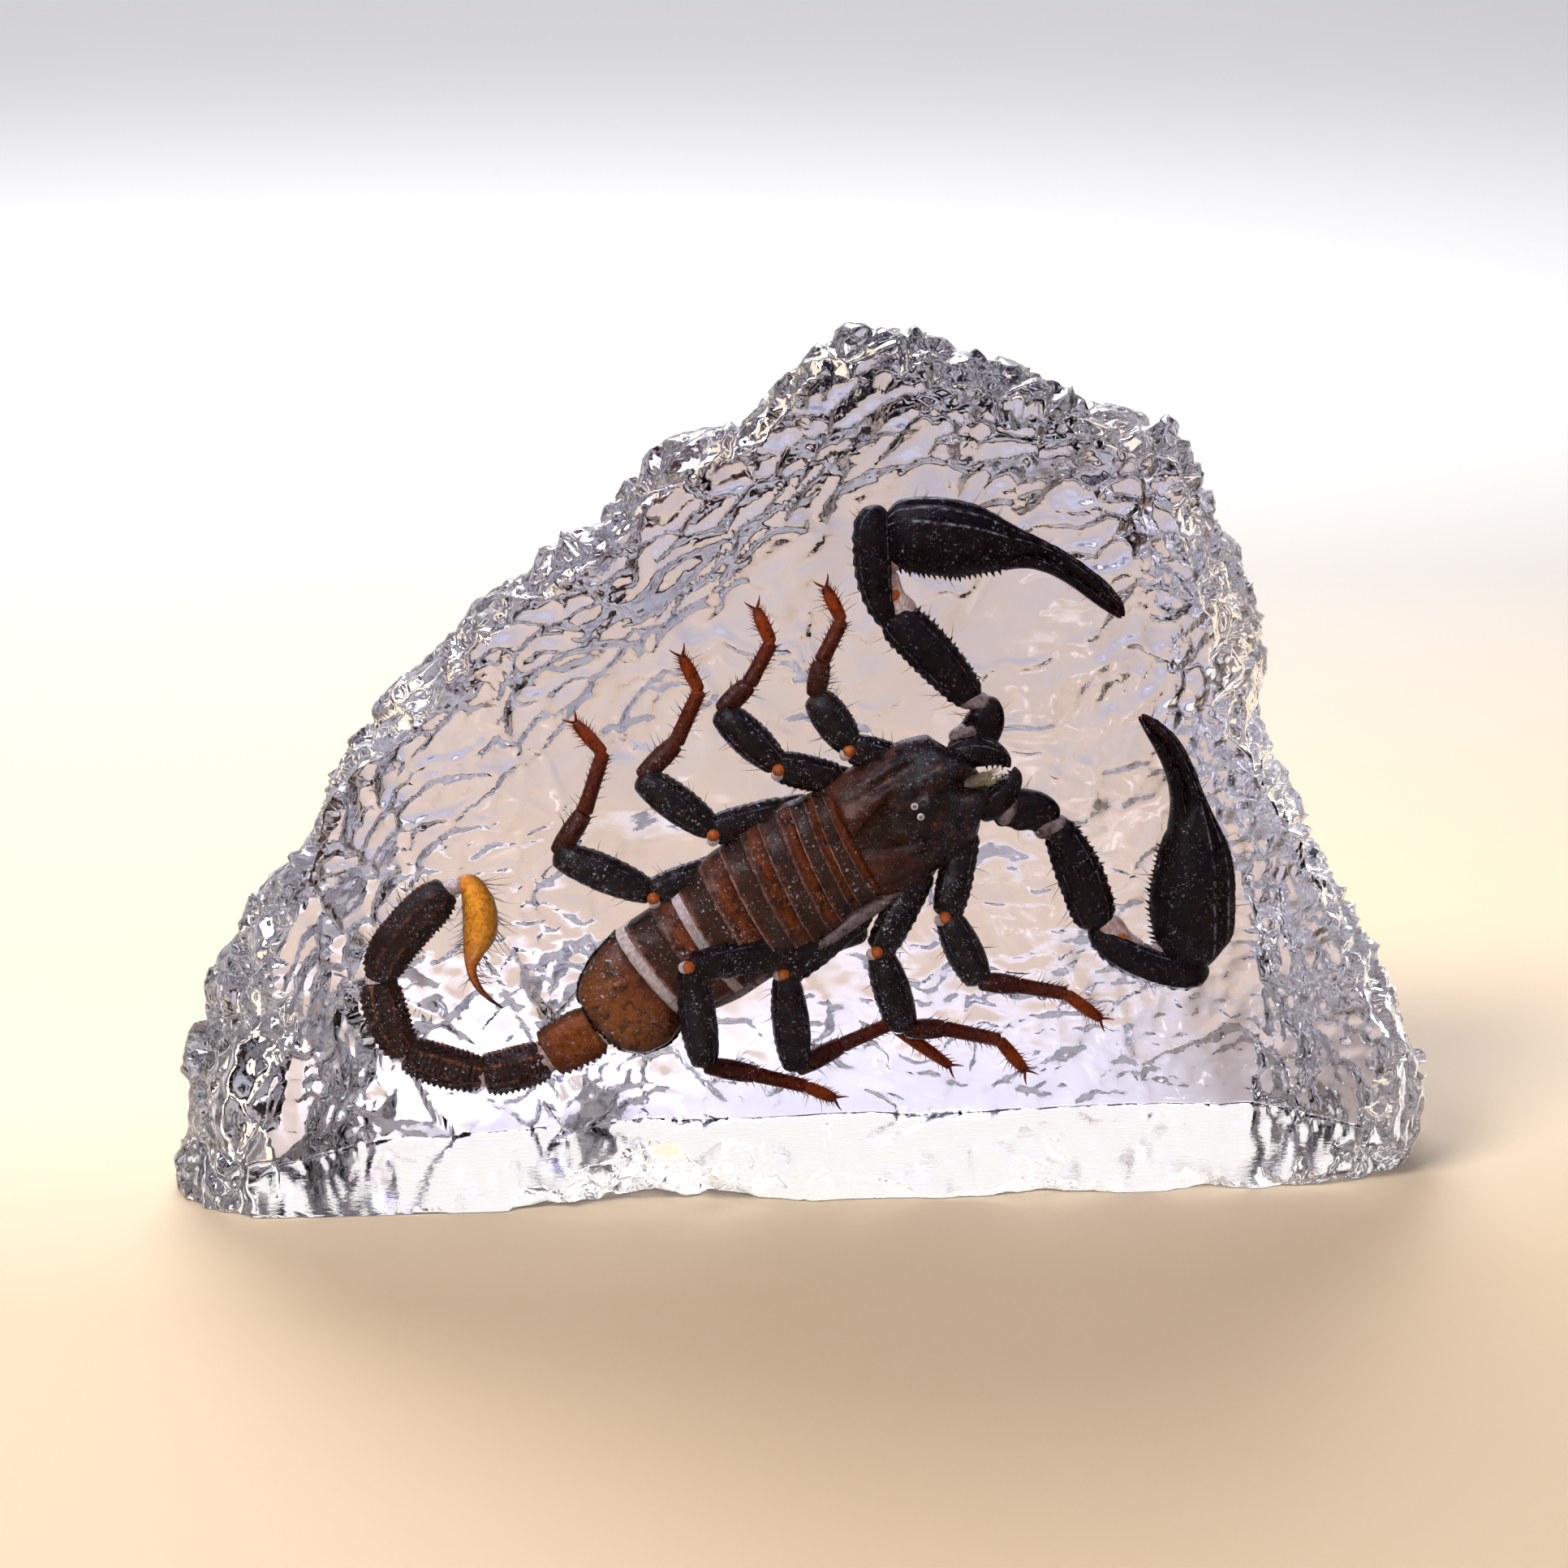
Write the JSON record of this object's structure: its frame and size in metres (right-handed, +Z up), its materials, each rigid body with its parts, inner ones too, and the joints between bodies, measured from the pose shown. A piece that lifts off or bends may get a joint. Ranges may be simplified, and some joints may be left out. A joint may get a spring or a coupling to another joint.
{
  "type": "scorpion in resin block",
  "caption": "Free-standing clear resin block, rough like broken ice with one polished face, holding a whole dried scorpion.",
  "frame": {"origin": "on the surface the block stands on, under the middle of the block's box", "axes": "+Z up; +X to the right when looking at the polished face; the polished face faces -Y"},
  "size_m": [0.1429, 0.0463, 0.098],
  "materials": {
    "clear_resin": "clear cast resin, polished on the front face and rough elsewhere",
    "scorpion_shell": "glossy dried shell, black claws and legs, chestnut back, amber sting"
  },
  "bodies": {
    "root": {"resin_front": "clear_resin", "resin_back": "clear_resin", "scorpion": "scorpion_shell"}
  },
  "joints": []
}
